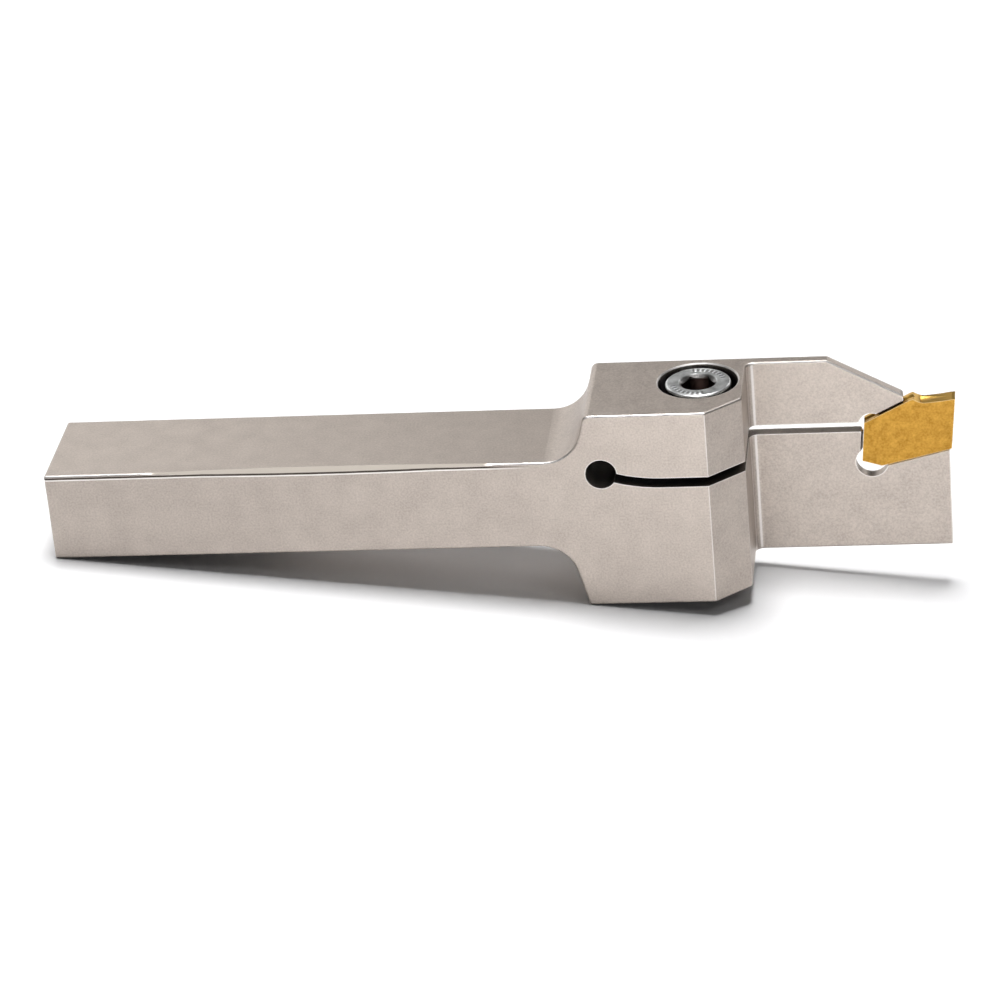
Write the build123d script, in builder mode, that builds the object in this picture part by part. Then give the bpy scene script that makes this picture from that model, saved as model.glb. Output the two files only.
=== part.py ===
"""A parting-off tool holder: a one-piece steel body, its clamp screw and a wedge-shaped cutting insert.

The body is shank, head and thin blade in one piece of steel. A narrow slot, cut right through from a round
relief hole, splits the head and the blade into two jaws. The screw in the head pulls the upper jaw down on
the insert, which sits between V-shaped ridges of both jaws.

Sizes are in millimetres. +X runs along the shank towards the cutting edge. +Y goes from the shank's plain
side to the side that carries the blade. +Z is up, the side where the chips leave. The origin is on the
shank's flat underside, on its centre line, under the middle of the length that a tool post grips.
"""
from build123d import *
from math import cos, radians, sin, sqrt, tan
import os

# ---------------------------------------------------------------- shank
shank_height = 12.0
shank_width = 16.0
shank_length = 68.8          # rear end to the corner where its top meets the head
grip_length = 60.0           # length that the tool post can take hold of
edge_round = 0.3             # outer edges

# the plain side's upper edge is dressed by hand: a long shallow facet, deepest in its middle
facet_depth = 0.43
facet_lean = 30.0            # degrees between the facet and the shank's top
facet_from_rear = 9.0        # where it starts
facet_from_head = 6.0        # where it ends, before the shank's upper corner

# ---------------------------------------------------------------- head
head_length = 21.45          # shank's upper corner to the head's end face
head_rise = 6.35             # above the shank's top
head_drop = 8.7              # below the shank's underside
heel_setback = 1.5           # the underside's corner lies this much further back
flank_angle = 14.0           # degrees that the head's rear flanks lean from upright
root_radius = 5.0            # where shank and head meet
corner_length = 4.5          # cut-off corner of the plain side, along X
corner_depth = 4.1           # the same, along Y
corner_round = 0.4           # the cut-off corner's own upright edges
crown_round = 0.9            # where the head's top meets its rear flank

# ---------------------------------------------------------------- blade
blade_thickness = 1.65
blade_reach = 25.72          # end face of the head to the blade's front
blade_root_fillet = 1.2
blade_crest = 10.4           # level top before it slopes down
blade_slope = 28.7           # degrees
nose_radius = 0.9            # front end of the upper jaw
tip_radius = 0.3             # under it, where the jaw meets the insert
nose_setback = 1.25          # upper jaw's front, behind the crest of the insert

# ---------------------------------------------------------------- insert
insert_width = 2.4
insert_length = 12.2
edge_rise = 0.5              # cutting edge above the shank's top
edge_overhang = 0.9          # cutting edge in front of the blade
front_height = 7.05          # under the cutting edge
rear_height = 5.45
front_clearance = 5.0        # degrees
bottom_angle = 14.0          # degrees, lower seat
top_angle = 27.5             # degrees, upper seat
rear_lean = 4.5              # degrees
heel_length = 2.5            # sloping cut at the rear of the bottom
heel_angle = 17.0            # degrees
side_relief = 0.75           # degrees, each side, narrowing to the rear

# chip former behind the cutting edge
former_crest_back = 5.4      # cutting edge back to the crest that curls the chip
former_crest_rise = 0.15     # crest above the cutting edge
former_crest_length = 0.4
former_dip_back = 3.9        # cutting edge back to the lowest point
former_dip_depth = 0.4       # below the cutting edge
former_hollow = 0.1          # how far its curves sag below straight lines
edge_land = 0.4              # level land behind the cutting edge
scoop_width = 1.4            # hollow along the middle of the former, at its deepest
scoop_depth = 0.2            # below the former's lowest point
scoop_past_dip = 0.5         # its rear wall stands this far behind that point

# ---------------------------------------------------------------- V seats, jaws and slot
ridge_half_angle = 50.0      # degrees between a ridge's flank and its middle plane
ridge_crest = 0.3            # flat along the top of a ridge
groove_clearance = 0.08      # over that flat
seat_gap = 0.3               # shoulders of the insert to the edges of the jaws
stop_gap = 0.05              # behind the insert
stop_bevel = 0.3             # its edges stand this far behind its ridge
heel_relief_radius = 2.1
lower_corner_round = 0.25    # lower jaw's corner between slot and pocket
heel_relief_rise = 0.1       # above the middle of the insert's heel cut
crown_relief_radius = 1.65
crown_relief_setback = 0.93  # its centre in front of the insert's upper rear corner
crown_relief_drop = 0.39     # and below it
flare_setback = 0.3          # where the slot's upper wall flares into that relief
flare_length = 0.75
flare_height = 1.0
slot_height = 1.3
slot_below_edge = 3.77       # slot's middle, under the cutting edge
slot_bend_length = 7.8       # the slot's last stretch rises to the relief hole
slot_bend_radius = 22.0
slot_back = 18.1             # relief hole's centre behind the head's end face
relief_hole_diameter = 4.0

# ---------------------------------------------------------------- clamp screw, M5 x 16
screw_setback = 5.85         # behind the head's end face
screw_inset = 6.35           # from the blade's side
thread_diameter = 5.0
screw_length = 16.0
head_diameter = 8.5
head_height = 5.0
head_round = 0.35
socket_size = 4.0            # across flats
socket_depth = 2.5
socket_mouth = 5.0           # diameter of the turned lead-in, which ends at the flats
socket_mouth_angle = 90.0    # degrees, the whole cone
socket_point_angle = 118.0   # degrees, drilled bottom of the socket
tip_chamfer = 0.6
counterbore_diameter = 10.3
counterbore_chamfer = 0.16
sink_depth = 0.15            # screw head below the head's top
thread_clearance = 0.05      # each side, in the lower jaw
passing_clearance = 0.25     # each side, in the upper jaw
hole_run_out = 2.0           # hole goes on past the screw's tip

# ---------------------------------------------------------------- places worked out from these
rear_x = -grip_length / 2
shoulder_x = rear_x + shank_length
heel_x = shoulder_x - heel_setback
end_x = shoulder_x + head_length
front_x = end_x + blade_reach
crest_end_x = end_x + blade_crest
side_y = shank_width / 2
blade_mid_y = side_y - blade_thickness / 2
head_top = shank_height + head_rise
head_bottom = -head_drop
flank_slope = tan(radians(flank_angle))
slope_fall = tan(radians(blade_slope))

edge_x = front_x + edge_overhang
edge_z = shank_height + edge_rise
foot_x = edge_x - front_height * tan(radians(front_clearance))
foot_z = edge_z - front_height
insert_rear_x = edge_x - insert_length
stop_x = insert_rear_x - stop_gap
crest_x = edge_x - former_crest_back
crest_z = edge_z + former_crest_rise
dip_x = edge_x - former_dip_back
dip_z = edge_z - former_dip_depth
nose_x = crest_x - nose_setback


def bottom_line(x):
    """Height of the insert's bottom, or of that line carried on past its ends."""
    return foot_z + (x - foot_x) * tan(radians(bottom_angle))


heel_front = (insert_rear_x + heel_length, bottom_line(insert_rear_x + heel_length))
heel_rear = (insert_rear_x, heel_front[1] + heel_length * tan(radians(heel_angle)))
rear_top = (insert_rear_x + rear_height * tan(radians(rear_lean)), heel_rear[1] + rear_height)


def top_line(x):
    """Height of the insert's upper clamping face, or of that line carried on past its ends."""
    return rear_top[1] + (x - rear_top[0]) * tan(radians(top_angle))


# ridges and grooves: their heights are square to the seat, counted from the insert's shoulders
ridge_slope = 1 / tan(radians(ridge_half_angle))
ridge_height = (blade_thickness - ridge_crest) / 2 * ridge_slope
crest_past_shoulder = ridge_height - seat_gap


def stop_line(z):
    """Where the stop's ridge stands at this height: it leans as the insert's rear does."""
    return stop_x + (z - heel_rear[1]) * tan(radians(rear_lean))


def lower_crest(x):
    """Height of the lower jaw's ridge."""
    return bottom_line(x) + crest_past_shoulder / cos(radians(bottom_angle))


def upper_crest(x):
    """Height of the upper jaw's ridge."""
    return top_line(x) - crest_past_shoulder / cos(radians(top_angle))


def seat_plane(x, z, angle):
    """Section across a seat: local X goes across the blade, local Y square to the seat and upwards."""
    along = (cos(radians(angle)), 0, sin(radians(angle)))
    return Plane(origin=(x, blade_mid_y, z), x_dir=(0, 1, 0), z_dir=along)


heel_relief = ((heel_front[0] + heel_rear[0]) / 2, (heel_front[1] + heel_rear[1]) / 2 + heel_relief_rise)
stop_foot_x = stop_line(heel_relief[1])
crown_relief = (rear_top[0] + crown_relief_setback, rear_top[1] - crown_relief_drop)

slot_z = edge_z - slot_below_edge
slot_roof = slot_z + slot_height / 2
slot_floor = slot_z - slot_height / 2
relief_hole_x = end_x - slot_back
bend_x = relief_hole_x + slot_bend_length
bend_centre_z = slot_z + slot_bend_radius
relief_hole_z = bend_centre_z - sqrt(slot_bend_radius**2 - slot_bend_length**2)


def bend_point(radius, share):
    """Point of the slot's bent wall of this radius: share runs from 0 at the relief hole to 1."""
    x = -slot_bend_length * (1 - share) * radius / slot_bend_radius
    return (bend_x + x, bend_centre_z - sqrt(radius**2 - x**2))


screw_x = end_x - screw_setback
screw_y = side_y - screw_inset
screw_axis = Axis((screw_x, screw_y, 0), (0, 0, 1))
screw_top = head_top - sink_depth
screw_seat = screw_top - head_height
screw_tip = screw_seat - screw_length
hole_bottom = screw_tip - hole_run_out

# sketches in side view lie on the blade's side, where a positive extrude goes through to the plain side
blade_side = Plane.XZ.offset(-side_y)

# ================================================================ holder body
with BuildPart() as holder_body:
    # shank and head, with rounded inside corners and a rounded upper rear corner
    with BuildSketch(blade_side) as side_view:
        with BuildLine():
            Polyline(
                (rear_x, 0),
                (heel_x, 0),
                (heel_x + head_drop * flank_slope, head_bottom),
                (end_x, head_bottom),
                (end_x, head_top),
                (shoulder_x + head_rise * flank_slope, head_top),
                (shoulder_x, shank_height),
                (rear_x, shank_height),
                close=True,
            )
        make_face()
        inside_corners = side_view.vertices().filter_by(
            lambda corner: rear_x < corner.X < end_x and 0 <= corner.Y <= shank_height
        )
        fillet(inside_corners, root_radius)
        crown = side_view.vertices().filter_by(lambda corner: corner.X < end_x).sort_by(Axis.Y)[-1]
        fillet(crown, crown_round)
    extrude(amount=shank_width)

    # blade, with its level crest and long front slope
    blade_start_x = end_x - corner_length
    with BuildSketch(blade_side):
        with BuildLine():
            Polyline(
                (blade_start_x, head_bottom),
                (front_x, head_bottom),
                (front_x, head_top - (front_x - crest_end_x) * slope_fall),
                (crest_end_x, head_top),
                (blade_start_x, head_top),
                close=True,
            )
        make_face()
    extrude(amount=blade_thickness)

    # cut-off corner between the plain side and the end face, and the rounded root of the blade
    uprights = holder_body.edges().filter_by(Axis.Z)
    end_uprights = uprights.group_by(lambda edge: abs(edge.center().X - end_x))[0]
    plain_face = holder_body.faces().sort_by(Axis.Y)[0]
    chamfer(end_uprights.sort_by(Axis.Y)[0], corner_length, corner_depth, reference=plain_face)
    fillet(end_uprights.sort_by(Axis.Y)[-1], blade_root_fillet)
    corner_edges = holder_body.edges().filter_by(Axis.Z).filter_by(
        lambda edge: edge.center().X > shoulder_x and edge.center().Y < corner_depth - side_y + corner_round
    )
    fillet(corner_edges, corner_round)

    # outer edges: outlines of both sides, the blade's slope, the underside and the rear end.
    # Where a rounded outline runs on smoothly there is no corner to round.
    smooth_joins = holder_body.edges().filter_by(Axis.Y).filter_by(
        lambda edge: rear_x < edge.center().X < crest_end_x and edge.center().Z > 0
    )
    blade_top = holder_body.faces().filter_by(lambda face: face.center().X > crest_end_x)
    slope_edges = blade_top.sort_by(Axis.Z)[-1].edges().filter_by(
        lambda edge: edge.center().X < front_x - corner_round
    )
    level_faces = holder_body.faces().filter_by(Axis.Z).sort_by(Axis.Z)
    rear_end = holder_body.faces().filter_by(Axis.X).sort_by(Axis.X)[0]
    side_faces = holder_body.faces().filter_by(Axis.Y).sort_by(Axis.Y)
    side_edges = (side_faces[0].edges() + side_faces[-1].edges()).filter_by(
        lambda edge: edge.center().X < shoulder_x + root_radius
    )
    flat_edges = level_faces[0].edges() + level_faces[-1].edges() + rear_end.edges()
    outer_edges = set(flat_edges + slope_edges + side_edges) - set(smooth_joins)
    fillet(ShapeList(outer_edges), edge_round)

    # dressed facet along the plain side's upper edge
    facet_reach = (shank_length - facet_from_rear - facet_from_head) / 2
    facet_width = facet_depth / (sin(radians(facet_lean)) * cos(radians(facet_lean)))
    facet_across = Plane(
        origin=(rear_x + facet_from_rear + facet_reach, -side_y, shank_height),
        x_dir=(-1, 0, 0),
        z_dir=(0, cos(radians(facet_lean)), sin(radians(facet_lean))),
    )
    with BuildSketch(facet_across):
        with BuildLine():
            ThreePointArc((-facet_reach, 0), (0, -facet_depth), (facet_reach, 0))
            Line((facet_reach, 0), (-facet_reach, 0))
        make_face()
    extrude(amount=facet_width, both=True, mode=Mode.SUBTRACT)

    # pocket that the insert slides into, open at the front, with the rounded nose of the upper jaw
    above_head = head_top + head_rise
    nose_z = head_top - (nose_x - crest_end_x) * slope_fall
    nose_back_x = nose_x - 2 * nose_radius
    nose_back_z = nose_z + 2 * nose_radius * slope_fall
    with BuildSketch(blade_side) as pocket:
        with BuildLine():
            Polyline(
                (stop_foot_x, lower_crest(stop_foot_x)),
                (edge_x, lower_crest(edge_x)),
                (edge_x, above_head),
                (nose_back_x, above_head),
                (nose_back_x, nose_back_z),
                (nose_x, nose_z),
                (nose_x, upper_crest(nose_x)),
                (rear_top[0], upper_crest(rear_top[0])),
                (stop_line(slot_roof), slot_roof),
                close=True,
            )
        make_face()
        fillet(pocket.vertices().sort_by_distance((nose_x, nose_z))[0], nose_radius)
        fillet(pocket.vertices().sort_by_distance((nose_x, upper_crest(nose_x)))[0], tip_radius)
    extrude(amount=blade_thickness, mode=Mode.SUBTRACT)

    # slot with its relief hole, and the two round reliefs at the rear of the pocket
    roof_radius = slot_bend_radius - slot_height / 2
    floor_radius = slot_bend_radius + slot_height / 2
    with BuildSketch(blade_side):
        with BuildLine():
            ThreePointArc(
                bend_point(roof_radius, 0), bend_point(roof_radius, 0.5), bend_point(roof_radius, 1)
            )
            Polyline(
                (bend_x, slot_roof),
                (insert_rear_x, slot_roof),
                (insert_rear_x, slot_floor),
                (bend_x, slot_floor),
            )
            ThreePointArc(
                bend_point(floor_radius, 1), bend_point(floor_radius, 0.5), bend_point(floor_radius, 0)
            )
            Line(bend_point(floor_radius, 0), bend_point(roof_radius, 0))
        make_face()
        with Locations((relief_hole_x, relief_hole_z)):
            Circle(relief_hole_diameter / 2)
        with Locations(heel_relief):
            Circle(heel_relief_radius)
        with Locations(crown_relief):
            Circle(crown_relief_radius)
        with BuildLine():
            Polyline(
                (insert_rear_x - flare_setback, slot_roof),
                (insert_rear_x - flare_setback + flare_length, slot_roof + flare_height),
                (crown_relief[0], slot_roof),
                close=True,
            )
        make_face()
    extrude(amount=shank_width, mode=Mode.SUBTRACT)
    jaw_corner = (stop_line(slot_floor), blade_mid_y, slot_floor)
    fillet(holder_body.edges().filter_by(Axis.Y).sort_by_distance(jaw_corner)[0], lower_corner_round)

    # flanks of the three ridges, two seats and a stop: what stands beside each crest goes
    upper_reach = nose_x - crown_relief[0] + nose_setback
    stop_reach = slot_roof - heel_relief[1]
    stop_slope = 2 * stop_bevel / (blade_thickness - ridge_crest)
    ridges = (
        (heel_relief[0], lower_crest(heel_relief[0]), bottom_angle, -ridge_slope, insert_length),
        (crown_relief[0], upper_crest(crown_relief[0]), top_angle, ridge_slope, upper_reach),
        (stop_foot_x, heel_relief[1], 90 - rear_lean, stop_slope, stop_reach),
    )
    for ridge_x, ridge_z, ridge_angle, flank_rise, ridge_length in ridges:
        with BuildSketch(seat_plane(ridge_x, ridge_z, ridge_angle)):
            for side in (-1, 1):
                with BuildLine():
                    Polyline(
                        (side * ridge_crest / 2, 0),
                        (side * blade_thickness, 0),
                        (side * blade_thickness, flank_rise * (blade_thickness - ridge_crest / 2)),
                        close=True,
                    )
                make_face()
        extrude(amount=ridge_length, mode=Mode.SUBTRACT)

    # counterbore, passing hole through the upper jaw and screw hole in the lower jaw
    for hole_radius, hole_top, hole_end in (
        (counterbore_diameter / 2, head_top, screw_seat),
        (thread_diameter / 2 + passing_clearance, screw_seat, slot_z),
        (thread_diameter / 2 + thread_clearance, slot_z, hole_bottom),
    ):
        with BuildSketch(Plane.XY.offset(hole_top)):
            with Locations((screw_x, screw_y)):
                Circle(hole_radius)
        extrude(amount=hole_end - hole_top, mode=Mode.SUBTRACT)
    mouth = holder_body.edges().filter_by(GeomType.CIRCLE).filter_by(Plane.XY).group_by(Axis.Z)[-1]
    chamfer(mouth.sort_by(Edge.length)[-1], counterbore_chamfer)
holder_body.part.label = "holder_body"

# ================================================================ clamp screw
with BuildPart() as clamp_screw:
    # head and threaded length, turned in one profile
    with BuildSketch(Plane.XZ.offset(-screw_y)):
        with BuildLine():
            Polyline(
                (screw_x, screw_tip),
                (screw_x + thread_diameter / 2 - tip_chamfer, screw_tip),
                (screw_x + thread_diameter / 2, screw_tip + tip_chamfer),
                (screw_x + thread_diameter / 2, screw_seat),
                (screw_x + head_diameter / 2, screw_seat),
                (screw_x + head_diameter / 2, screw_top),
                (screw_x, screw_top),
                close=True,
            )
        make_face()
    revolve(axis=screw_axis)
    fillet(clamp_screw.edges().filter_by(GeomType.CIRCLE).sort_by(Axis.Z)[-1], head_round)

    # hexagon socket with a corner pointing along the shank
    socket_radius = socket_size / 2 / cos(radians(30))
    with BuildSketch(Plane.XY.offset(screw_top)):
        with Locations((screw_x, screw_y)):
            RegularPolygon(socket_radius, 6)
    extrude(amount=-socket_depth, mode=Mode.SUBTRACT)

    # its drilled point and the turned lead-in at its mouth
    point_depth = socket_size / 2 / tan(radians(socket_point_angle / 2))
    mouth_depth = (socket_mouth - socket_size) / 2 / tan(radians(socket_mouth_angle / 2))
    with BuildSketch(Plane.XZ.offset(-screw_y)):
        with BuildLine():
            Polyline(
                (screw_x, screw_top - socket_depth - point_depth),
                (screw_x + socket_size / 2, screw_top - socket_depth),
                (screw_x, screw_top - socket_depth),
                close=True,
            )
        make_face()
        with BuildLine():
            Polyline(
                (screw_x, screw_top),
                (screw_x + socket_mouth / 2, screw_top),
                (screw_x + socket_size / 2, screw_top - mouth_depth),
                (screw_x, screw_top - mouth_depth),
                close=True,
            )
        make_face()
    revolve(axis=screw_axis, mode=Mode.SUBTRACT)
clamp_screw.part.label = "clamp_screw"

# ================================================================ cutting insert
with BuildPart() as cutting_insert:
    # side view: front clearance, wedge-shaped clamping faces, heel cut and the chip former's profile
    with BuildSketch(Plane.XZ.offset(-blade_mid_y)):
        with BuildLine():
            Polyline(
                (edge_x, edge_z),
                (foot_x, foot_z),
                heel_front,
                heel_rear,
                rear_top,
                (crest_x - former_crest_length, top_line(crest_x - former_crest_length)),
                (crest_x, crest_z),
            )
            ThreePointArc(
                (crest_x, crest_z),
                ((crest_x + dip_x) / 2 - former_hollow, (crest_z + dip_z) / 2 - former_hollow),
                (dip_x, dip_z),
            )
            ThreePointArc(
                (dip_x, dip_z),
                ((dip_x + edge_x - edge_land) / 2, (dip_z + edge_z - former_hollow) / 2),
                (edge_x - edge_land, edge_z),
            )
            Line((edge_x - edge_land, edge_z), (edge_x, edge_z))
        make_face()
    extrude(amount=insert_width / 2, both=True)

    # round hollow along the middle of the former, running down from the edge to its own rear wall
    scoop_radius = scoop_width**2 / (8 * scoop_depth) + scoop_depth / 2
    scoop_run = former_dip_back - edge_land
    scoop_fall = former_dip_depth + scoop_depth
    scoop_slant = sqrt(scoop_run**2 + scoop_fall**2)
    scoop_start = Plane(
        origin=(
            edge_x - edge_land - scoop_radius * scoop_fall / scoop_slant,
            blade_mid_y,
            edge_z + scoop_radius * scoop_run / scoop_slant,
        ),
        x_dir=(0, 1, 0),
        z_dir=(-scoop_run, 0, -scoop_fall),
    )
    with BuildSketch(scoop_start):
        Circle(scoop_radius)
    extrude(amount=scoop_slant + scoop_past_dip, mode=Mode.SUBTRACT)

    # seen from above it narrows towards the rear
    narrowing = tan(radians(side_relief))
    front_half = insert_width / 2 + edge_overhang * narrowing
    rear_half = front_half - (insert_length + 2 * edge_overhang) * narrowing
    with BuildSketch(Plane.XY.offset(foot_z)):
        with BuildLine():
            Polyline(
                (edge_x + edge_overhang, blade_mid_y - front_half),
                (edge_x + edge_overhang, blade_mid_y + front_half),
                (insert_rear_x - edge_overhang, blade_mid_y + rear_half),
                (insert_rear_x - edge_overhang, blade_mid_y - rear_half),
                close=True,
            )
        make_face()
    extrude(amount=front_height + rear_height, both=True, mode=Mode.INTERSECT)

    # V grooves that the ridges of the jaws sit in
    groove_half = ridge_crest / 2 - groove_clearance / ridge_slope
    groove_drop = (insert_width - groove_half) * ridge_slope
    groove_start_x = insert_rear_x - edge_overhang
    grooves = (
        (lower_crest(groove_start_x), bottom_angle, 1, insert_length + front_height),
        (upper_crest(groove_start_x), top_angle, -1, insert_length + front_height),
    )
    for groove_z, seat_angle, inward, groove_length in grooves:
        with BuildSketch(seat_plane(groove_start_x, groove_z, seat_angle)):
            with BuildLine():
                Polyline(
                    (-groove_half, inward * groove_clearance),
                    (groove_half, inward * groove_clearance),
                    (insert_width, inward * (groove_clearance - groove_drop)),
                    (-insert_width, inward * (groove_clearance - groove_drop)),
                    close=True,
                )
            make_face()
        extrude(amount=groove_length, mode=Mode.SUBTRACT)
cutting_insert.part.label = "cutting_insert"

# ================================================================ one file for each piece
os.makedirs("parts", exist_ok=True)
for piece in (holder_body, clamp_screw, cutting_insert):
    export_step(piece.part, f"parts/{piece.part.label}.step")
    print(piece.part.label, f"{len(piece.part.solids())} solid, {piece.part.volume:.1f} mm3")
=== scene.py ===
# %% [markdown]
# # A parting-off tool holder, dressed for its portrait
#
# The object is a lathe tool in three pieces: a holder body of matt nickel-plated steel, a bright clamp
# screw and a gold-coated carbide insert. Their shapes are finished already and come from the CAD frame.
# What is left for Blender is what a shape can't say: the satin grain of blasted and plated steel, the
# bright line that every rounded edge catches, here a painted highlight, the turned face of the screw and
# the coating of the insert. The narrow places get painted shade.
#
# Everything is in metres, in the frame of the CAD: +X towards the cutting edge, +Y towards the blade's side
# and +Z up.

# %% Load the frame
import bpy
from math import atan2, degrees, pi, radians
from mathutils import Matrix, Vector


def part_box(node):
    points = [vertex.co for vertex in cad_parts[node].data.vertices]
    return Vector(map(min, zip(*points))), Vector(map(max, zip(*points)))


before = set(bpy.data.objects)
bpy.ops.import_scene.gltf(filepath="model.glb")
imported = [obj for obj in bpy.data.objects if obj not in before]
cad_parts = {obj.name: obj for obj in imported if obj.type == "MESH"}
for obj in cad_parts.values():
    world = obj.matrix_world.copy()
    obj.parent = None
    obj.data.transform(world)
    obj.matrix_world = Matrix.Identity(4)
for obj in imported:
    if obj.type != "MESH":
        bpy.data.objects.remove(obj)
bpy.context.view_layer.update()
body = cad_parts["holder_body"]
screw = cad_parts["clamp_screw"]
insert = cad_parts["cutting_insert"]
screw_low, screw_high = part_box("clamp_screw")
screw_place = ((screw_low.x + screw_high.x) / 2, (screw_low.y + screw_high.y) / 2)
head_radius = (screw_high.x - screw_low.x) / 2
print("nodes", sorted(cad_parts))

# %% [markdown]
# ## Small helpers for node trees
#
# A material is a tree of nodes. Adding a node, setting its sockets and joining it up are the same three
# steps each time, so they are one short function: a socket is given by its name or number, and what it gets
# is either a plain value or the output of another node.

# %% Add a node with its inputs
def add_node(tree, kind, inputs=None, **settings):
    """A new node. settings are its own properties; inputs maps its sockets to values or outputs."""
    node = tree.nodes.new(kind)
    for name, value in settings.items():
        setattr(node, name, value)
    for name, value in (inputs or {}).items():
        if isinstance(value, bpy.types.NodeSocket):
            tree.links.new(value, node.inputs[name])
        else:
            node.inputs[name].default_value = value
    return node


def calculate(tree, operation, first, second=0.0, third=0.0, clamp=False):
    """One step of arithmetic, as the output of a Math node. Only MULTIPLY_ADD looks at third."""
    numbers = {0: first, 1: second, 2: third}
    return add_node(tree, "ShaderNodeMath", numbers, operation=operation, use_clamp=clamp).outputs[0]


def ramp(tree, value, low, high):
    """0 up to low, 1 from high on and straight between them. With low above high it falls instead."""
    node = add_node(tree, "ShaderNodeMapRange", {"Value": value, "From Min": low, "From Max": high})
    return node.outputs["Result"]


def blend_colours(tree, share, first, second):
    """first where share is 0 and second where it is 1."""
    node = add_node(tree, "ShaderNodeMix", data_type="RGBA", inputs={0: share, 6: first, 7: second})
    return node.outputs[2]


print("helpers ready")

# %% [markdown]
# ## Node groups: effects that several finishes share
#
# Steel, screw and insert all show a fine grain, a painted highlight on their edges and painted shade
# in their narrow places, with different strengths. Each effect is built once as a node group with named
# sockets, and every material places it with its own values. A group only puts out masks and heights; the
# shader itself stays in the material.

# %% Start a node group
def new_group(name, inputs, outputs):
    """An empty node group with float sockets; returns the tree and its input and output nodes."""
    tree = bpy.data.node_groups.new(name, "ShaderNodeTree")
    for socket, default in inputs.items():
        made = tree.interface.new_socket(socket, in_out="INPUT", socket_type="NodeSocketFloat")
        made.default_value = default
    for socket in outputs:
        tree.interface.new_socket(socket, in_out="OUTPUT", socket_type="NodeSocketFloat")
    return tree, tree.nodes.new("NodeGroupInput"), tree.nodes.new("NodeGroupOutput")


print("groups can be started")

# %% [markdown]
# ### Satin grain
#
# Blasting and plating leave a surface that is even from afar and mottled close by. Two noises of different
# size do this: a fine one for the grain and a broad, soft one for the cloudy patches. Both read Object
# coordinates, which are metres on the piece, so the grain has a real size whatever the piece's shape.

# %% Build the satin grain group
noise_low = 0.3
noise_high = 0.7
grain_group, given, result = new_group(
    "satin grain",
    {"Grain Size": 0.0003, "Patch Size": 0.004},
    ("Grain", "Patches"),
)
place = add_node(grain_group, "ShaderNodeTexCoord").outputs["Object"]
for socket, size_name, octaves in (("Grain", "Grain Size", 3.0), ("Patches", "Patch Size", 4.0)):
    per_metre = calculate(grain_group, "DIVIDE", 1.0, given.outputs[size_name])
    noise = add_node(
        grain_group, "ShaderNodeTexNoise", {"Vector": place, "Scale": per_metre, "Detail": octaves}
    )
    spread = ramp(grain_group, noise.outputs["Fac"], noise_low, noise_high)
    grain_group.links.new(spread, result.inputs[socket])
print("group", grain_group.name)

# %% [markdown]
# ### Painted edge highlights
#
# The rounded edges of plated steel catch the light as thin pale lines. Here those lines are a painted
# highlight: the colour is lightened towards near white along them. The Ambient Occlusion node can look
# inwards: from under a flat face it sees nothing near, but close to an edge it meets the face round the
# corner. How much it meets over a very short reach is the mask of the painted highlight.

# %% Build the painted edge highlights group
rays_per_point = 8
# Painted highlight: a mask of the edges, along which the colour is lightened.
edge_highlight_group, given, result = new_group("painted edge highlights", {"Reach": 0.0003, "From": 0.1, "To": 0.6}, ("Edge",))
inwards = add_node(
    edge_highlight_group,
    "ShaderNodeAmbientOcclusion",
    {"Distance": given.outputs["Reach"]},
    samples=rays_per_point,
    inside=True,
    only_local=True,
)
met = calculate(edge_highlight_group, "SUBTRACT", 1.0, inwards.outputs["AO"])
edge = add_node(
    edge_highlight_group,
    "ShaderNodeMapRange",
    {"Value": met, "From Min": given.outputs["From"], "From Max": given.outputs["To"]},
)
edge_highlight_group.links.new(edge.outputs["Result"], result.inputs["Edge"])
print("group", edge_highlight_group.name)

# %% [markdown]
# ### Painted crevice shade
#
# Slots, bores and narrow gaps get painted shade: their colour is darkened there. This also stands for
# the dark skin that spark erosion and some oil leave where little plating gets in. The Ambient Occlusion
# node says how much of the sky a point sees over a short distance, so one minus it is a mask of the narrow
# places.

# %% Build the painted crevice shade group
least_sky = 0.15
enough_sky = 0.5
# Painted shade: one minus the sky a point sees, to darken the narrow places.
crevice_shade_group, given, result = new_group("painted crevice shade", {"Reach": 0.002}, ("Painted Shade",))
occlusion = add_node(
    crevice_shade_group,
    "ShaderNodeAmbientOcclusion",
    {"Distance": given.outputs["Reach"]},
    samples=rays_per_point,
)
open_sky = ramp(crevice_shade_group, occlusion.outputs["AO"], least_sky, enough_sky)
crevice_shade_group.links.new(calculate(crevice_shade_group, "SUBTRACT", 1.0, open_sky), result.inputs["Painted Shade"])
print("group", crevice_shade_group.name)

# %% [markdown]
# ### Pits
#
# A used tool has a few small nicks. A Voronoi texture scatters points; a colour picked at random for each
# point lets only some of them through, and the distance to the point makes each one a small spot.

# %% Build the pits group
pitless_share = 0.55
pit_group, given, result = new_group("pits", {"Spacing": 0.0035, "Pit Size": 0.00011}, ("Pit",))
place = add_node(pit_group, "ShaderNodeTexCoord").outputs["Object"]
per_metre = calculate(pit_group, "DIVIDE", 1.0, given.outputs["Spacing"])
points = add_node(pit_group, "ShaderNodeTexVoronoi", {"Vector": place, "Scale": per_metre})
picked = add_node(pit_group, "ShaderNodeSeparateColor", {0: points.outputs["Color"]})
away = calculate(pit_group, "MULTIPLY", points.outputs["Distance"], given.outputs["Spacing"])
size = calculate(pit_group, "MULTIPLY", picked.outputs["Green"], given.outputs["Pit Size"])
near = calculate(pit_group, "SUBTRACT", 1.0, calculate(pit_group, "DIVIDE", away, size), clamp=True)
kept = calculate(pit_group, "GREATER_THAN", picked.outputs["Red"], pitless_share)
pit_group.links.new(calculate(pit_group, "MULTIPLY", near, kept), result.inputs["Pit"])
print("group", pit_group.name)

# %% [markdown]
# ### Round the screw
#
# The screw and the bore it sits in are turned shapes, so their marks run in rings. This group moves Object
# coordinates onto the screw's own axis and gives the distance from it, the angle round it and the height.

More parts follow.
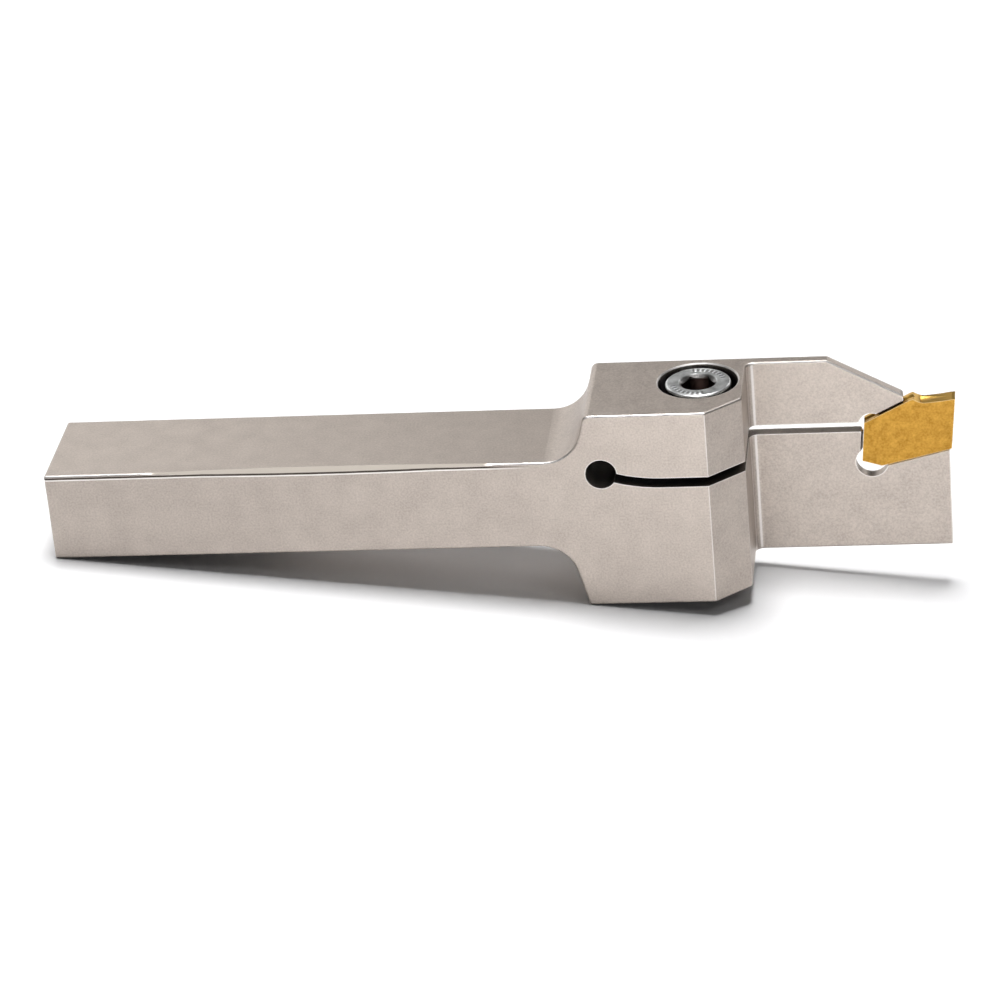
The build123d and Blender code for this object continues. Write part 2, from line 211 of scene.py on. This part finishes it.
# %% Build the round the screw group
turned_group, given, result = new_group("round the screw", {}, ("Radius", "Angle", "Height"))
place = add_node(turned_group, "ShaderNodeTexCoord").outputs["Object"]
to_axis = (-screw_place[0], -screw_place[1], 0.0)
centred = add_node(turned_group, "ShaderNodeMapping", {"Vector": place, "Location": to_axis})
parts = add_node(turned_group, "ShaderNodeSeparateXYZ", {0: centred.outputs["Vector"]})
flat = add_node(turned_group, "ShaderNodeCombineXYZ", {0: parts.outputs["X"], 1: parts.outputs["Y"]})
length = add_node(turned_group, "ShaderNodeVectorMath", {0: flat.outputs[0]}, operation="LENGTH")
turned_group.links.new(length.outputs["Value"], result.inputs["Radius"])
angle = calculate(turned_group, "ARCTAN2", parts.outputs["Y"], parts.outputs["X"])
turned_group.links.new(angle, result.inputs["Angle"])
turned_group.links.new(parts.outputs["Z"], result.inputs["Height"])
print("group", turned_group.name)

# %% [markdown]
# ## Finishes
#
# Each finish starts from an empty material with a Principled shader, and replaces every slot of its piece.

# %% Start a finish and put it on a piece
def new_finish(name):
    """A material with its Principled shader joined to the output; returns material, tree and shader."""
    material = bpy.data.materials.new(name)
    material.use_nodes = True
    tree = material.node_tree
    tree.nodes.clear()
    shader = add_node(tree, "ShaderNodeBsdfPrincipled")
    add_node(tree, "ShaderNodeOutputMaterial", {"Surface": shader.outputs["BSDF"]})
    return material, tree, shader


def place_group(tree, group, **values):
    """The group as a node of this tree; values are named as its sockets, with _ for a space."""
    node = add_node(tree, "ShaderNodeGroup", node_tree=group)
    for name, value in values.items():
        node.inputs[name.replace("_", " ")].default_value = value
    return node


def put_on(piece, material):
    """The piece wears only this material."""
    for slot in piece.material_slots:
        slot.material = material
    if not piece.material_slots:
        piece.data.materials.append(material)
    print(piece.name, "wears", material.name)


print("finishes can be started")

# %% [markdown]
# ### What the three metals share
#
# Nickel and gold are mottled by both noises of the satin grain, each with its own share of the fine one.
# All three metals end in the same joins: full Metallic, a colour, a roughness and a bump.

# %% Mottle a colour and finish a metal
def mottle(tree, grain, grain_share, dark, light):
    """Between dark and light, moved by the fine grain for grain_share and by the patches for the rest."""
    fine = calculate(tree, "MULTIPLY", grain.outputs["Grain"], grain_share)
    mixed = calculate(tree, "MULTIPLY_ADD", grain.outputs["Patches"], 1.0 - grain_share, fine)
    return blend_colours(tree, mixed, dark, light)


def finish_metal(tree, shader, colour, roughness, bump):
    """A metal with this colour, this roughness and this Bump node's normal."""
    shader.inputs["Metallic"].default_value = 1.0
    tree.links.new(colour, shader.inputs["Base Color"])
    tree.links.new(roughness, shader.inputs["Roughness"])
    tree.links.new(bump.outputs["Normal"], shader.inputs["Normal"])


print("metals can be finished")

# %% [markdown]
# ### Matt nickel on the holder body
#
# The body is steel under a thin matt nickel layer: a warm grey, even, with a fine grain. It is a metal, so
# its colour is the colour of its reflections. Grain and patches shift it between two greys, and the grain
# also raises a very low bump, which breaks up the reflections as blasting does. Crevices get painted
# shade, but hardly any on the blade, so its slot and pocket stay nearly as light as its faces.

# %% Make the matt nickel
nickel_light = (0.570, 0.508, 0.453, 1.0)
nickel_dark = (0.392, 0.340, 0.306, 1.0)
# Near white for the painted highlights on the body's edges, rounds and corners.
nickel_highlight = (0.98, 0.96, 0.94, 1.0)
pit_brown = (0.17, 0.14, 0.12, 1.0)
# The dark of the painted crevice shade, which also stands for the skin of spark erosion and oil.
shade_and_skin_dark = (0.045, 0.037, 0.035, 1.0)
blade_start = 0.0609
# From here on the blade gets hardly any painted shade.
blade_unshaded_from = blade_start + 0.0012
blade_unshaded_share = 0.95
nickel_grain_share = 0.7
nickel_roughness = 0.42
nickel_spread = 0.08

nickel, tree, shader = new_finish("matt nickel")
grain = place_group(tree, grain_group, Grain_Size=0.00025, Patch_Size=0.003)
edge_highlights = place_group(tree, edge_highlight_group, Reach=0.0002)
plated = mottle(tree, grain, nickel_grain_share, nickel_dark, nickel_light)
crevice_shade = place_group(tree, crevice_shade_group, Reach=0.006)
pitted = blend_colours(tree, place_group(tree, pit_group).outputs["Pit"], plated, pit_brown)
coordinates = add_node(tree, "ShaderNodeTexCoord")
at = add_node(tree, "ShaderNodeSeparateXYZ", {0: coordinates.outputs["Object"]})
in_blade = ramp(tree, at.outputs["X"], blade_start, blade_unshaded_from)
off_blade = calculate(tree, "SUBTRACT", 1.0, calculate(tree, "MULTIPLY", in_blade, blade_unshaded_share))
# Painted shade in the narrow places, with hardly any on the blade.
shade_share = calculate(tree, "MULTIPLY", crevice_shade.outputs["Painted Shade"], off_blade)
shaded = blend_colours(tree, shade_share, pitted, shade_and_skin_dark)
# Painted highlight along the edges.
colour = blend_colours(tree, edge_highlights.outputs["Edge"], shaded, nickel_highlight)
roughness = calculate(tree, "MULTIPLY_ADD", grain.outputs["Grain"], nickel_spread, nickel_roughness)
bump = add_node(
    tree, "ShaderNodeBump", {"Height": grain.outputs["Grain"], "Strength": 0.35, "Distance": 0.00002}
)
print("nickel from", nickel_dark[:3], "to", nickel_light[:3])

# %% [markdown]
# ### The dressed facet
#
# The long facet on the shank's upper edge was filed after plating, so it is rougher than the faces beside
# it. It is found by the way it faces, compared with each point's own normal, and by how deep it is cut into
# the corner. What the file left of the edge's round gets a painted highlight: its colour goes to near
# white.

# %% Roughen the facet and paint a highlight on the round beside it
facet_facing = (0.0, -0.5, 0.866)
round_facing = (0.0, -0.707, 0.707)
shank_top = 0.012
shank_side = -0.008
facet_depth = 0.00012
facet_depth_full = 0.00016
facet_roughness = 0.7
round_share = 0.8
filed_steel = (0.42, 0.385, 0.345, 1.0)


def facing(direction, start, full):
    """A mask of the faces that look in this direction. start and full are cosines of the angle off it."""
    vectors = {0: coordinates.outputs["Normal"], 1: direction}
    match = add_node(tree, "ShaderNodeVectorMath", vectors, operation="DOT_PRODUCT")
    return ramp(tree, match.outputs["Value"], start, full)


below_top = calculate(tree, "SUBTRACT", shank_top, at.outputs["Z"])
inwards = calculate(tree, "SUBTRACT", at.outputs["Y"], shank_side)
sideways = calculate(tree, "MULTIPLY", inwards, -facet_facing[1])
depth = calculate(tree, "MULTIPLY_ADD", below_top, facet_facing[2], sideways)
cut_away = ramp(tree, depth, facet_depth, facet_depth_full)
filed = calculate(tree, "MULTIPLY", facing(facet_facing, 0.985, 0.995), cut_away)
rough_file = calculate(tree, "MULTIPLY", filed, facet_roughness)
roughness = calculate(tree, "MAXIMUM", roughness, rough_file)
colour = blend_colours(tree, filed, colour, filed_steel)
left_round = calculate(tree, "SUBTRACT", round_share, filed, clamp=True)
# Painted highlight on the round that the file left.
round_highlight = calculate(tree, "MULTIPLY", facing(round_facing, 0.82, 0.94), left_round)
colour = blend_colours(tree, round_highlight, colour, nickel_highlight)
print("facet", [round(part, 2) for part in facet_facing], "roughness", facet_roughness)

# %% [markdown]
# ### Lines along the facet
#
# A thin dark line is drawn along the facet's lower arris, with a painted highlight line under it.
# The facet was filed by hand, so its arris bows: the drop below the shank's top follows a parabola along X.

# %% Draw the lines under the arris
facet_middle = 0.0059
facet_half = 0.0269
facet_drop = 0.0005
round_drop = 0.00034
shank_end = 0.0335
line_fade = 0.006

share = calculate(tree, "DIVIDE", calculate(tree, "SUBTRACT", at.outputs["X"], facet_middle), facet_half)
bow = calculate(tree, "SUBTRACT", 1.0, calculate(tree, "MULTIPLY", share, share))
drop = calculate(tree, "MAXIMUM", calculate(tree, "MULTIPLY", bow, facet_drop), round_drop)
under_arris = calculate(tree, "SUBTRACT", below_top, drop)
on_side = calculate(tree, "LESS_THAN", inwards, round_drop)
on_shank = ramp(tree, at.outputs["X"], shank_end, shank_end - line_fade)
arris = calculate(tree, "MULTIPLY", on_side, on_shank)
# A thin dark line at the arris, and under it a painted highlight line.
for name, centre, half, tone in (
    ("dark_line", 0.00006, 0.00014, (0.05, 0.042, 0.037, 1.0)),
    ("highlight_line", 0.0003, 0.0001, (0.9, 0.87, 0.84, 1.0)),
):
    away = calculate(tree, "ABSOLUTE", calculate(tree, "SUBTRACT", under_arris, centre))
    line = calculate(tree, "MULTIPLY", ramp(tree, away, half, half * 0.5), arris)
    colour = blend_colours(tree, line, colour, tone)
    print("arris line", name)

# %% [markdown]
# ### Painted highlights on the rim and corners
#
# Two more places get a painted highlight: the rim of the screw's bore, which is a ring round the screw's
# axis, and the upright corners of the slanting face. Those are found by the way they face: between the
# slanting face and the face on each side of it.

# %% Paint highlights on the bore's rim and the upright corners
rim_radius = 0.00523
rim_half = 0.00013
rim_core = rim_half * 0.6
rim_share = 0.5
rim_low = 0.01805
rim_high = 0.01815
corner_facings = (((0.36, -0.933, 0.0), 0.5), ((0.91, -0.415, 0.0), 0.35))

# Painted highlights on the bore's rim and on the upright corners.
around = place_group(tree, turned_group)
from_rim = calculate(tree, "ABSOLUTE", calculate(tree, "SUBTRACT", around.outputs["Radius"], rim_radius))
rim_highlight = calculate(tree, "MULTIPLY", ramp(tree, from_rim, rim_half, rim_core), rim_share)
rim_and_corner_highlight = calculate(tree, "MULTIPLY", rim_highlight, ramp(tree, around.outputs["Height"], rim_low, rim_high))
for direction, strength in corner_facings:
    corner = calculate(tree, "MULTIPLY", facing(direction, 0.985, 0.996), strength)
    rim_and_corner_highlight = calculate(tree, "MAXIMUM", rim_and_corner_highlight, corner)
colour = blend_colours(tree, rim_and_corner_highlight, colour, nickel_highlight)
finish_metal(tree, shader, colour, roughness, bump)
put_on(body, nickel)

# %% [markdown]
# ### Rings, ticks and socket of the clamp screw
#
# The screw's head is turned, so fine rings run round its top. A sine of the distance from the screw's own
# axis gives them. Its stamped marks are left as plain short ticks, raised in two arcs between two radii:
# a sine of the angle cuts the ticks, and a slower one says where the arcs are. The socket gets painted
# shade, lighter at its mouth than deep down, and the height below the head's top tells the two apart.

# %% Find the screw's rings, ticks and socket
ring_pitch = 0.00012
tick_count = 34.0
arc_turn = pi / 6
mouth_shade_share = 0.6

zinc, tree, shader = new_finish("bright zinc")
turned = place_group(tree, turned_group)
radius = turned.outputs["Radius"]
angle = turned.outputs["Angle"]


def at_radius(start, full):
    """A mask by the distance from the screw's axis; start and full are shares of the head's radius."""
    return ramp(tree, radius, head_radius * start, head_radius * full)


def below_head(start, full):
    """A mask by the height; start and full are depths below the top of the screw's head."""
    return ramp(tree, turned.outputs["Height"], screw_high.z - start, screw_high.z - full)


rings = calculate(tree, "SINE", calculate(tree, "MULTIPLY", radius, 2 * pi / ring_pitch))
ticks = ramp(tree, calculate(tree, "SINE", calculate(tree, "MULTIPLY", angle, tick_count)), 0.0, 0.4)
arc_wave = calculate(tree, "SINE", calculate(tree, "ADD", angle, arc_turn))
arcs = ramp(tree, calculate(tree, "ABSOLUTE", arc_wave), 0.66, 0.72)
field = at_radius(0.70, 0.72)
for mask in (at_radius(0.87, 0.85), arcs, below_head(0.0004, 0.0002)):
    field = calculate(tree, "MULTIPLY", field, mask)
marks = calculate(tree, "MULTIPLY", ticks, field)
# Painted shade in the socket: a share of it at the mouth, all of it deep down.
mouth = calculate(tree, "MULTIPLY", below_head(0.00002, 0.00015), mouth_shade_share)
deep = calculate(tree, "MAXIMUM", mouth, below_head(0.0004, 0.0006))
socket_shade_mask = calculate(tree, "MULTIPLY", deep, at_radius(0.62, 0.60))
print("rings", ring_pitch, "m apart,", int(tick_count), "ticks round a full turn")

# %% [markdown]
# ### Bright zinc on the clamp screw
#
# Zinc plate is pale. Its edges get a painted highlight, a slightly blue near white that the raised ticks
# share. Its patches run between two greys, the rings shade them slightly, and the field round the ticks is
# dark, so the raised ticks stand out. Crevices and the socket get painted shade.

# %% Make the bright zinc
zinc_light = (0.90, 0.91, 0.90, 1.0)
zinc_dark = (0.45, 0.455, 0.45, 1.0)
zinc_sunk = (0.16, 0.155, 0.15, 1.0)
# Near white of the raised ticks, and of the painted highlight on the screw's edges.
zinc_ticks_and_highlight = (0.95, 0.96, 0.98, 1.0)
# The dark of the painted shade in the socket.
socket_shade = (0.10, 0.078, 0.072, 1.0)
ring_shade = 0.1
ring_height = 0.05
grain_height = 0.15
sunk_share = 0.6
zinc_roughness = 0.28
zinc_spread = 0.12

grain = place_group(tree, grain_group, Grain_Size=0.00025, Patch_Size=0.0015)
edge_highlights = place_group(tree, edge_highlight_group, Reach=0.0003)
shade = calculate(tree, "MULTIPLY_ADD", rings, ring_shade, grain.outputs["Patches"])
worn = blend_colours(tree, shade, zinc_dark, zinc_light)
crevice_shade = place_group(tree, crevice_shade_group, Reach=0.003)
sunk = blend_colours(tree, calculate(tree, "MULTIPLY", field, sunk_share), worn, zinc_sunk)
stamped = blend_colours(tree, marks, sunk, zinc_ticks_and_highlight)
# Painted highlight along the edges.
bright = blend_colours(tree, edge_highlights.outputs["Edge"], stamped, zinc_ticks_and_highlight)
# Painted shade in the socket.
socket_shaded = blend_colours(tree, socket_shade_mask, bright, socket_shade)
# Painted shade in the crevices of the screw.
colour = blend_colours(tree, crevice_shade.outputs["Painted Shade"], socket_shaded, shade_and_skin_dark)
grained = calculate(tree, "MULTIPLY", grain.outputs["Grain"], grain_height)
ringed = calculate(tree, "MULTIPLY_ADD", rings, ring_height, grained)
raised = calculate(tree, "ADD", ringed, marks)
bump = add_node(tree, "ShaderNodeBump", {"Height": raised, "Strength": 0.8, "Distance": 0.00006})
roughness = calculate(tree, "MULTIPLY_ADD", grain.outputs["Grain"], zinc_spread, zinc_roughness)
finish_metal(tree, shader, colour, roughness, bump)
put_on(screw, zinc)

# %% [markdown]
# ### Gold coating on the insert
#
# Titanium nitride is a thin gold layer on sintered carbide. It is mottled, so the patches run between two
# golds. Its hollows get a painted brown shade and its edges a painted highlight in a pale gold. Faces that
# look up, on the top with the chip former, get a painted highlight in a gold of their own.

# %% Make the gold coating
gold_light = (0.59, 0.33, 0.063, 1.0)
gold_dark = (0.325, 0.16, 0.0225, 1.0)
# A paler gold for faces that look up: a painted highlight.
gold_top_highlight = (0.6, 0.37, 0.09, 1.0)
# The pale gold of the painted highlight on edges.
gold_highlight = (1.0, 0.86, 0.5, 1.0)
# The brown of the painted shade in hollows.
gold_hollow_shade = (0.08, 0.035, 0.01, 1.0)
gold_highlight_share = 0.5
gold_grain_share = 0.4
top_from = 0.4
top_full = 0.8
gold_roughness = 0.33
gold_spread = 0.1

gold, tree, shader = new_finish("gold nitride")
grain = place_group(tree, grain_group, Grain_Size=0.0003, Patch_Size=0.0012)
edge_highlights = place_group(tree, edge_highlight_group, Reach=0.00015)
coated = mottle(tree, grain, gold_grain_share, gold_dark, gold_light)
normal = add_node(tree, "ShaderNodeTexCoord").outputs["Normal"]
normal_parts = add_node(tree, "ShaderNodeSeparateXYZ", {0: normal})
# Faces that look up get a painted highlight.
upwards = ramp(tree, normal_parts.outputs["Z"], top_from, top_full)
top_highlighted = blend_colours(tree, upwards, coated, gold_top_highlight)
crevice_shade = place_group(tree, crevice_shade_group, Reach=0.0006)
# Painted highlight along the edges, then painted shade in the hollows.
ground_highlight = calculate(tree, "MULTIPLY", edge_highlights.outputs["Edge"], gold_highlight_share)
bright = blend_colours(tree, ground_highlight, top_highlighted, gold_highlight)
colour = blend_colours(tree, crevice_shade.outputs["Painted Shade"], bright, gold_hollow_shade)
roughness = calculate(tree, "MULTIPLY_ADD", grain.outputs["Grain"], gold_spread, gold_roughness)
bump = add_node(
    tree, "ShaderNodeBump", {"Height": grain.outputs["Grain"], "Strength": 0.25, "Distance": 0.00002}
)
finish_metal(tree, shader, colour, roughness, bump)
put_on(insert, gold)

# %% [markdown]
# ## The floor
#
# Laid on a table, the tool rests on two of its lower edges: the shank's rear end and the rear corner of the
# deeper head. The frame keeps the shank level, so here the table tilts instead. Its slope is found from the
# body itself: seen from the rear end, it is the steepest line down that still touches the head.

# %% Find the slope the tool rests at
rear_reach = 0.001
points = [vertex.co for vertex in body.data.vertices]
rear_x = min(point.x for point in points)
heel = min((point for point in points if point.x < rear_x + rear_reach), key=lambda point: point.z)
ahead = [point for point in points if point.x > heel.x + rear_reach]
slope = max(atan2(heel.z - point.z, point.x - heel.x) for point in ahead)
print("the table slopes", round(degrees(slope), 2), "degrees")

# %% Lay the floor
floor_size = 6.0
floor_drop = 0.00002
bpy.ops.object.select_all(action="DESELECT")
bpy.ops.mesh.primitive_plane_add(
    size=floor_size, location=(heel.x, 0.0, heel.z - floor_drop), rotation=(0.0, slope, 0.0)
)
floor = bpy.context.active_object
floor.name = "floor"
print("floor", floor_size, "m wide, at the heel", tuple(round(c, 4) for c in heel))

# %% [markdown]
# ### Paper on the floor
#
# The floor is white paper with a faint fibre in it. The lamps light it round the tool, where it keeps the
# tool's shadow. Further out it falls off into grey, so there the paper gets a white glow that starts well
# away from the tool. Only what looks at the floor meets that glow: the camera, and the rays that a metal or
# a glass mirrors or lets through. Matt surfaces get no light from it.

# %% Make the white paper
paper_dark = (0.92, 0.92, 0.93, 1.0)
paper_light = (0.94, 0.94, 0.95, 1.0)
fibres_per_metre = 900.0
white = (1.0, 1.0, 1.0, 1.0)
glow_centre = (0.06 - heel.x, 0.0, 0.0)
background_start = 0.3
background_full = 1.2
background_level = 0.9

paper, tree, shader = new_finish("white paper")
shader.inputs["Roughness"].default_value = 0.9
shader.inputs["Specular IOR Level"].default_value = 0.2
place = add_node(tree, "ShaderNodeTexCoord").outputs["Object"]
fibre = add_node(tree, "ShaderNodeTexNoise", {"Vector": place, "Scale": fibres_per_metre, "Detail": 3.0})
distance = add_node(tree, "ShaderNodeVectorMath", {0: place, 1: glow_centre}, operation="DISTANCE")
far = ramp(tree, distance.outputs["Value"], background_start, background_full)
rays = add_node(tree, "ShaderNodeLightPath").outputs
seen = calculate(tree, "MAXIMUM", rays["Is Camera Ray"], rays["Is Glossy Ray"])
seen = calculate(tree, "MAXIMUM", seen, rays["Is Transmission Ray"])
background = calculate(tree, "MULTIPLY", far, background_level)
tree.links.new(calculate(tree, "MULTIPLY", background, seen), shader.inputs["Emission Strength"])
shader.inputs["Emission Color"].default_value = white
colour = blend_colours(tree, fibre.outputs["Fac"], paper_dark, paper_light)
tree.links.new(colour, shader.inputs["Base Color"])
put_on(floor, paper)

# %% [markdown]
# ## Light
#
# Metal shows its surroundings. The upright faces mirror the pale floor in front of the tool and come out
# light; the level faces mirror the room behind it, which is greyer. The room itself is dim, and a little
# dimmer on the right, so the holes stay dark.

# %% Set up the room
room_left = 0.05
room_right = 0.04
room = bpy.data.worlds.new("room")
bpy.context.scene.world = room
room.use_nodes = True
tree = room.node_tree
direction = add_node(tree, "ShaderNodeTexCoord").outputs["Generated"]
rightwards = add_node(tree, "ShaderNodeSeparateXYZ", {0: direction}).outputs["X"]
strength = add_node(
    tree,
    "ShaderNodeMapRange",
    {"Value": rightwards, "From Min": -1.0, "From Max": 1.0, "To Min": room_left, "To Max": room_right},
)
tree.links.new(strength.outputs["Result"], tree.nodes["Background"].inputs["Strength"])
tree.nodes["Background"].inputs["Color"].default_value = white
print("room strength", room_left, "on the left,", room_right, "on the right")

# %% [markdown]
# ### Soft boxes
#
# Five square lamps, none of which the camera sees:
#
# - The one overhead lights the floor, throws the short dark shadow under the tool and draws the white lines
#   on the rounded edges.
# - A weak, wide one behind on the left gives the level faces something pale to mirror, more at the shank
#   than at the head.
# - A smaller one behind on the right lights what slopes towards it and thins the shadow under the blade.
# - A weak one high in front on the right thins that shadow from the other side.
# - A small, very weak one near the floor in front brightens the upright faces of the head.

# %% Hang the soft boxes
def soft_box(name, place, aim, size, power):
    """A square area lamp at place, turned towards aim. Power is in watts."""
    lamp = bpy.data.lights.new(name, "AREA")
    lamp.shape = "SQUARE"
    lamp.size = size
    lamp.energy = power
    stand = bpy.data.objects.new(name, lamp)
    stand.location = place
    stand.rotation_mode = "QUATERNION"
    stand.rotation_quaternion = (Vector(aim) - Vector(place)).to_track_quat("-Z", "Y")
    stand.visible_camera = False
    bpy.context.collection.objects.link(stand)
    print("lamp", name, power, "W")


tool_middle = (0.03, 0.0, 0.006)
soft_box("overhead box", (0.06, 0.12, 1.2), tool_middle, 0.45, 16.5)
soft_box("rear left box", (-0.5, 0.85, 0.48), tool_middle, 0.8, 2.45)
soft_box("rear right box", (0.42, 0.65, 0.3), tool_middle, 0.3, 0.6)
soft_box("front right box", (0.46, -0.36, 0.62), (0.075, 0.0, 0.01), 0.2, 0.3)
soft_box("front strip", (0.075, -0.2, 0.002), (0.07, 0.0, 0.004), 0.03, 0.085)

# %% [markdown]
# ## Camera
#
# A long lens from in front, a little right of the middle and 27 degrees above the tool, so that parallel
# edges stay almost parallel.

# %% Place the camera
eye = bpy.data.cameras.new("camera")
eye.sensor_width = 36.0
eye.lens = 144.0
camera = bpy.data.objects.new("camera", eye)
camera.location = (0.09464, -0.4584, 0.2382)
camera.rotation_euler = tuple(radians(turn) for turn in (62.963, 4.709, 5.895))
bpy.context.collection.objects.link(camera)
bpy.context.scene.camera = camera
bpy.context.scene.view_settings.view_transform = "Standard"
print("camera", tuple(camera.location))

# %% [markdown]
# ## Finish
#
# Nothing was added outside the CAD shapes.

# %% Finish
print("finished")
